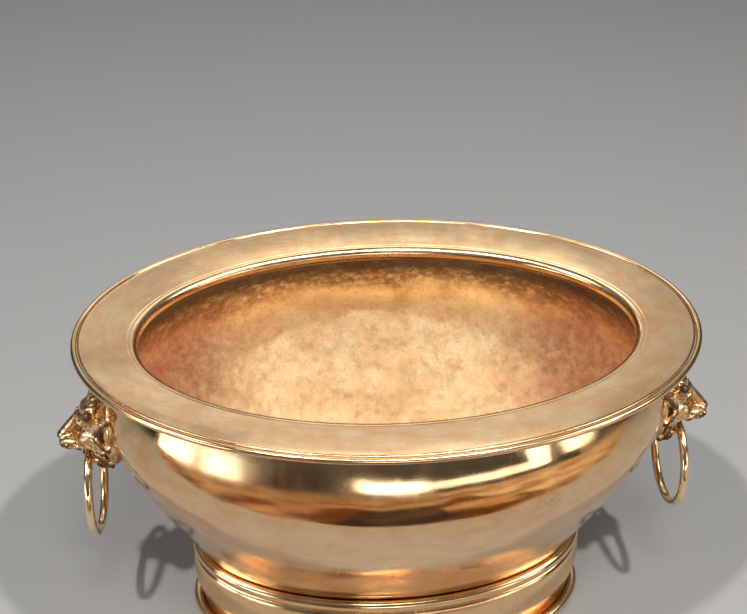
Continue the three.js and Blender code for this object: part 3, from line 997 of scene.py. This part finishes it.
def lion_mask_mesh():
    """The mask at the +X end, with an attribute that is high in hollows and low on what stands out, and high
    next to the ring's path, as painted shade.
    """
    clay = Clay((-30, -27.5, -17.5), (21.4, 27.5, 43.5), CARVE_STEP)
    shape_mane(clay)
    shape_face(clay)
    shape_jaw(clay)
    solid = clay.field.copy()
    clay.carve(swing_gap(clay), 0.25)
    clay.field = np.maximum(clay.field, -behind_wall(clay))
    clay.field = np.maximum(clay.field, np.abs(clay.side) - MASK_HALF_WIDTH)
    clay.field = np.maximum(clay.field, np.maximum(clay.up - MASK_TOP, MASK_CHIN - clay.up))
    points, quads = net_of(clay.field, clay.low, clay.step)
    cell = ((points - np.array(clay.low)) / clay.step).round().astype(int)
    cell = np.clip(cell, 0, np.array(solid.shape) - 1)
    depth = solid - blurred(np.clip(solid, -4, 4), 3)
    hollow = np.clip(0.45 + depth[tuple(cell.T)] * -0.55, 0, 1)
    # Painted shade: darker next to the space that the ring sweeps through the mouth, between mask and ring.
    hollow = np.maximum(hollow, np.clip(0.75 - swing_gap(clay)[tuple(cell.T)] * 0.4, 0, 0.8))
    mesh = bpy.data.meshes.new("lion_mask")
    places = points * MM + np.array(PIVOT)
    mesh.from_pydata(places.tolist(), [], quads.tolist())
    store(mesh, "hollow", hollow.astype(np.float32))
    return mesh


def soften(shape):
    axes = {"use_axis_x": True, "use_axis_y": True, "use_axis_z": True}
    for _ in range(3):
        bmesh.ops.smooth_vert(shape, verts=shape.verts, factor=0.5, **axes)


def at_end(mesh, side):
    """A copy of a mesh drawn at the +X end, turned half round for the -X end."""
    made = mesh.copy()
    if side < 0:
        places = np.empty(len(made.vertices) * 3, np.float32)
        made.vertices.foreach_get("co", places)
        places = places.reshape(-1, 3) * np.array((-1, -1, 1), np.float32)
        made.vertices.foreach_set("co", places.ravel())
    return made


def handle_piece(name, mesh, side, body, node, metal_name):
    made = plain_object(name, at_end(mesh, side))
    made.data.materials.clear()
    made.data.materials.append(METALS[metal_name])
    made.data.shade_smooth()
    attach(made, body)
    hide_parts(node)
    return made


mask_mesh = lion_mask_mesh()
reshaped(mask_mesh, soften)
for side_name, side in SIDES.items():
    handle_piece(side_name + "_lion_head", mask_mesh, side, POT, side_name + "_lion_mask", "mask")

# ---------------------------------------------------------------- rings


def ring_tree():
    """A hanging ring of round wire, hung from a place, thinned a little by wear at the top."""
    sockets = [
        ("Start", "Geometry", None),
        ("Ring Radius", "Float", RING_RADIUS),
        ("Wire Radius", "Float", RING_WIRE),
        ("Uneven", "Float", 0.05),
        ("Worn", "Float", 0.10),
        ("Pivot", "Vector", PIVOT),
        ("Seed", "Float", 3.0),
        ("Metal", "Material", None),
    ]
    tree, given, result = node_group("hanging_ring", "GeometryNodeTree", sockets, [("Ring", "Geometry")])
    loop = add(tree, "GeometryNodeCurvePrimitiveCircle", {"Resolution": 160, "Radius": given["Ring Radius"]})
    place = tree.nodes.new("GeometryNodeInputPosition").outputs[0]
    uneven = times(noise(place, 38.0, seed=given["Seed"]), given["Uneven"])
    height = parts(place)["Y"]
    top = ranged(maths("DIVIDE", height, given["Ring Radius"]), 0.90, 1.0)
    thinned = plus(uneven, times(top, given["Worn"]))
    radius = minus(1.0, thinned)
    loop = add(tree, "GeometryNodeSetCurveRadius", {"Curve": loop.outputs[0], "Radius": radius})
    wire = add(tree, "GeometryNodeCurvePrimitiveCircle", {"Resolution": 20, "Radius": given["Wire Radius"]})
    swept = add(tree, "GeometryNodeCurveToMesh", {"Curve": loop.outputs[0], "Profile Curve": wire.outputs[0]})
    if "Scale" in swept.inputs:
        set_inputs(swept, {"Scale": radius})
    drop = times(given["Ring Radius"], -1.0)
    down = whole(tree, 0.0, 0.0, drop)
    centre = add(tree, "ShaderNodeVectorMath", {0: given["Pivot"], 1: down}, operation="ADD").outputs[0]
    upright = add(tree, "GeometryNodeTransform", {"Geometry": swept.outputs[0]})
    set_inputs(upright, {"Translation": centre, "Rotation": (math.pi / 2, 0, math.pi / 2)})
    shape = add(tree, "GeometryNodeRealizeInstances", {"Geometry": upright.outputs[0]}).outputs[0]
    last = add(tree, "GeometryNodeSetMaterial", {"Geometry": shape, "Material": given["Metal"]})
    set_inputs(result, {0: last.outputs[0]})
    return tree


def ring_mesh():
    ring = applied("ring", bpy.data.meshes.new("ring_start"), ring_tree(), {"Metal": METALS["ring"]})
    mesh = ring.data
    bpy.data.objects.remove(ring)
    places = np.array([v.co for v in mesh.vertices])
    lever = places[:, 2] - (PIVOT.z - RING_RADIUS)
    inner = RING_RADIUS - np.sqrt(places[:, 1] ** 2 + lever**2)
    top = np.clip((lever / RING_RADIUS - 0.82) / 0.15, 0, 1)
    # The hollow value darkens the ring on the inside of its loop, and most at its top, where it hangs in the
    # mouth: painted shade there.
    hollow = np.clip(0.28 + inner / RING_WIRE * 0.22 + top * 0.3, 0, 1)
    store(mesh, "hollow", hollow.astype(np.float32))
    return mesh


hanging_ring = ring_mesh()
for side_name, side in SIDES.items():
    handle_piece(
        side_name + "_hanging_ring", hanging_ring, side, side_name + "_ring_body",
        side_name + "_ring", "ring",
    )

# ---------------------------------------------------------------- studs, washers and nuts


def lathe_along_x(name, low, high, profile, around, shape_of=None):
    """A profile of (X, radius) points turned about the middle line of a box along X.
    `shape_of` gives the share of the radius at an angle, for each point of the profile."""
    middle = (low.z + high.z) / 2
    rows = []
    for n in range(around):
        turn = math.tau * n / around
        for i, (x, radius) in enumerate(profile):
            wide = radius * (shape_of(turn, i) if shape_of else 1)
            rows.append((x, wide * math.cos(turn), middle + wide * math.sin(turn)))
    count = len(profile)
    faces = []
    for n in range(around):
        ahead = (n + 1) % around
        for i in range(count - 1):
            faces.append((n * count + i, n * count + i + 1, ahead * count + i + 1, ahead * count + i))
    mesh = bpy.data.meshes.new(name)
    mesh.from_pydata(rows, [], faces)
    reshaped(mesh, lambda shape: bmesh.ops.remove_doubles(shape, verts=shape.verts, dist=1e-6))
    store(mesh, "hollow", np.full(len(mesh.vertices), 0.5, np.float32))
    return mesh


def stud_mesh(low, high):
    """A rod with a rounded inner end and a rolled thread on the part inside the bowl."""
    radius = (high.y - low.y) / 2
    pitch = 0.8 * MM
    threaded = 9 * MM
    turns = int(threaded / pitch)
    profile = [(low.x, 0), (low.x, radius * 0.6), (low.x + 0.3 * MM, radius * 0.85)]
    for k in range(turns):
        start = low.x + 0.5 * MM + k * pitch
        profile += [(start, radius * 0.86), (start + pitch * 0.42, radius), (start + pitch * 0.58, radius)]
    profile += [(low.x + threaded + 1 * MM, radius * 0.95), (high.x, radius * 0.95), (high.x, 0)]
    return lathe_along_x("stud", low, high, profile, 28)


def washer_mesh(low, high, hole):
    """A flat washer with softened outer edges."""
    outer = (high.y - low.y) / 2
    soft = 0.25 * MM
    profile = [
        (low.x, hole), (low.x, outer - soft), (low.x + soft, outer), (high.x - soft, outer),
        (high.x, outer - soft), (high.x, hole), (low.x, hole),
    ]
    return lathe_along_x("washer", low, high, profile, 56)


def nut_mesh(low, high, hole):
    """A hexagon with its corners turned down on both faces."""
    flat = min(high.y - low.y, high.z - low.z) / 2
    chamfer = 0.7 * MM
    profile = [
        (low.x, hole), (low.x, flat * 0.94), (low.x + chamfer, flat * 1.0), (high.x - chamfer, flat * 1.0),
        (high.x, flat * 0.94), (high.x, hole), (low.x, hole),
    ]

    def six_sided(turn, i):
        if i in (0, 1, 4, 5, 6):
            return 1
        share = (turn + math.pi / 6) % (math.pi / 3) - math.pi / 6
        return min(1 / math.cos(share), 1.125)

    return lathe_along_x("nut", low, high, profile, 72, six_sided)


WASHER_PLAY = 0.15 * MM
THREAD_PLAY = 0.05 * MM
for side_name, side in SIDES.items():
    for row in ("lower", "upper"):
        nodes = {kind: f"{side_name}_{row}_{kind}" for kind in ("stud", "washer", "nut")}
        boxes = {kind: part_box(f"right_{row}_{kind}") for kind in nodes}
        rod = (boxes["stud"][1].y - boxes["stud"][0].y) / 2
        made = {
            "stud": stud_mesh(*boxes["stud"]),
            "washer": washer_mesh(*boxes["washer"], rod + WASHER_PLAY),
            "nut": nut_mesh(*boxes["nut"], rod + THREAD_PLAY),
        }
        for kind, node in nodes.items():
            handle_piece(f"{side_name}_{row}_brass_{kind}", made[kind], side, POT, node, "fixings")

# ---------------------------------------------------------------- camera, floor and light

CAMERA_PLACE = Vector((-0.059, -0.633, 0.635))
CAMERA_YAW = math.radians(-4.45)
CAMERA_PITCH = math.radians(31.85)
CAMERA_LENS = 56.9
CAMERA_SENSOR = 36

looking = Vector((
    -math.sin(CAMERA_YAW) * math.cos(CAMERA_PITCH),
    math.cos(CAMERA_YAW) * math.cos(CAMERA_PITCH),
    -math.sin(CAMERA_PITCH),
))
camera_data = bpy.data.cameras.new("camera")
camera_data.lens = CAMERA_LENS
camera_data.sensor_width = CAMERA_SENSOR
camera_data.clip_start = 0.01
camera = in_scene("camera", camera_data)
camera.location = CAMERA_PLACE
camera.rotation_euler = looking.to_track_quat("-Z", "Y").to_euler()
bpy.context.scene.camera = camera
bpy.context.scene.view_settings.view_transform = "Standard"

WHITE = (1.0, 0.98, 0.95)
DAYLIGHT = (0.96, 0.98, 1.0)
WARM_LIGHT = (1.0, 0.96, 0.9)
POT_MIDDLE = (0, 0, 0.15)
RIM_FRONT = (0, -0.12, rim_high.z)
RIM_BACK = (0, 0.12, rim_high.z)


def light_panel(name, place, size, power, color=WHITE, target=POT_MIDDLE, metal_only=False):
    """A rectangular soft light that faces a target. One for the metal only leaves the floor as it is."""
    data = bpy.data.lights.new(name, "AREA")
    data.shape = "RECTANGLE"
    data.size, data.size_y = size
    data.energy = power
    data.color = color
    panel = in_scene(name, data)
    panel.location = place
    panel.rotation_euler = (Vector(target) - Vector(place)).to_track_quat("-Z", "Y").to_euler()
    panel.visible_camera = False
    panel.visible_diffuse = not metal_only


def flat_sheet(name, x, y, height, material):
    mesh = bpy.data.meshes.new(name)
    corners = [(x[0], y[0], height), (x[1], y[0], height), (x[1], y[1], height), (x[0], y[1], height)]
    mesh.from_pydata(corners, [], [(0, 1, 2, 3)])
    mesh.materials.append(material)
    sheet = in_scene(name, mesh)
    return sheet


def stage_floor():
    material = bpy.data.materials.new("pale_floor")
    material.use_nodes = True
    shader = material.node_tree.nodes["Principled BSDF"]
    set_inputs(shader, {"Base Color": (0.30, 0.30, 0.30, 1), "Roughness": 0.85, "Specular IOR Level": 0.0})
    flat_sheet("floor", (-6, 6), (-6, 6), 0, material)


def reflected_card(name, x, y, height, low, high, size):
    """A mottled, glowing card that only reflections see, lying near the pot."""
    material, tree = bare_material(name)
    patches = noise(object_place(tree), size)
    glow = add(tree, "ShaderNodeEmission", {"Color": mixed(ranged(patches, 0.40, 0.60), low, high)})
    add(tree, "ShaderNodeOutputMaterial", {0: glow.outputs[0]})
    card = flat_sheet(name, x, y, height, material)
    card.visible_camera = False
    card.visible_diffuse = False
    card.visible_shadow = False


stage_floor()
BROWNS = ((0.15, 0.06, 0.022, 1), (0.62, 0.40, 0.22, 1))
SANDS = ((0.36, 0.20, 0.10, 1), (0.90, 0.68, 0.45, 1))
DARKS = ((0.05, 0.035, 0.03, 1), (0.11, 0.07, 0.05, 1))
reflected_card("brown_card", (-3, 3), (-3.2, -0.265), 3 * MM, *BROWNS, 5.0)
reflected_card("sandy_card", (0.35, 3), (-3.2, -0.36), 4 * MM, *SANDS, 3.0)
reflected_card("dark_card", (-0.09, 0.12), (-0.62, -0.275), 5 * MM, *DARKS, 9.0)

# Each panel's name, place, size, watts, and where they differ its colour, its target and metal_only.
PANELS = [
    ("left_key", (-0.62, -0.62, 2.0), (0.07, 0.07), 27),
    ("right_key", (0.60, -0.60, 2.0), (0.07, 0.07), 27),
    ("middle_lamp", (0.05, -0.85, 1.9), (0.5, 0.3), 13),
    ("left_far_window", (-2.32, -0.81, 0.38), (0.72, 0.8), 6, DAYLIGHT),
    ("left_near_window", (-1.88, -1.59, 0.38), (0.72, 0.8), 6, DAYLIGHT),
    ("right_far_window", (2.30, -1.34, 0.75), (0.40, 0.9), 3.5, WARM_LIGHT),
    ("right_near_window", (1.90, -1.86, 0.70), (0.40, 0.9), 3.5, WARM_LIGHT),
    ("front_window", (1.05, -3.4, 0.50), (3.3, 0.42), 8),
    ("front_lamp", (0.05, -3.3, 0.50), (0.8, 0.45), 6),
    ("left_mask_light", (-1.5, -0.35, 1.6), (0.8, 0.8), 12, WHITE, POT_MIDDLE, True),
    ("right_mask_light", (1.5, -0.35, 1.6), (0.8, 0.8), 12, WHITE, POT_MIDDLE, True),
    ("back_panel", (0.1, 3.0, 2.0), (3.6, 2.0), 8),
    ("high_strip", (-0.05, 1.2, 2.0), (0.9, 0.4), 2.4),
    ("rim_front_glow", (0.07, 0.50, 0.72), (0.33, 0.17), 0.24, WHITE, RIM_FRONT, True),
    ("rim_back_glow", (-0.35, 2.6, 1.44), (2.4, 0.30), 1.2, WHITE, RIM_BACK),
    ("back_left_strip", (-0.7, 2.6, 1.3), (0.6, 0.16), 0.8),
]
for panel_row in PANELS:
    light_panel(*panel_row)


def room_light():
    world = bpy.data.worlds.new("room")
    world.use_nodes = True
    tree = world.node_tree
    background = tree.nodes["Background"]
    place = tree.nodes.new("ShaderNodeTexCoord").outputs["Generated"]
    color = mixed(ranged(parts(place)["Z"], 0.0, 0.8), (0.045, 0.036, 0.03, 1), (0.17, 0.17, 0.17, 1))
    set_inputs(background, {"Color": color, "Strength": 1.0})
    bpy.context.scene.world = world


room_light()
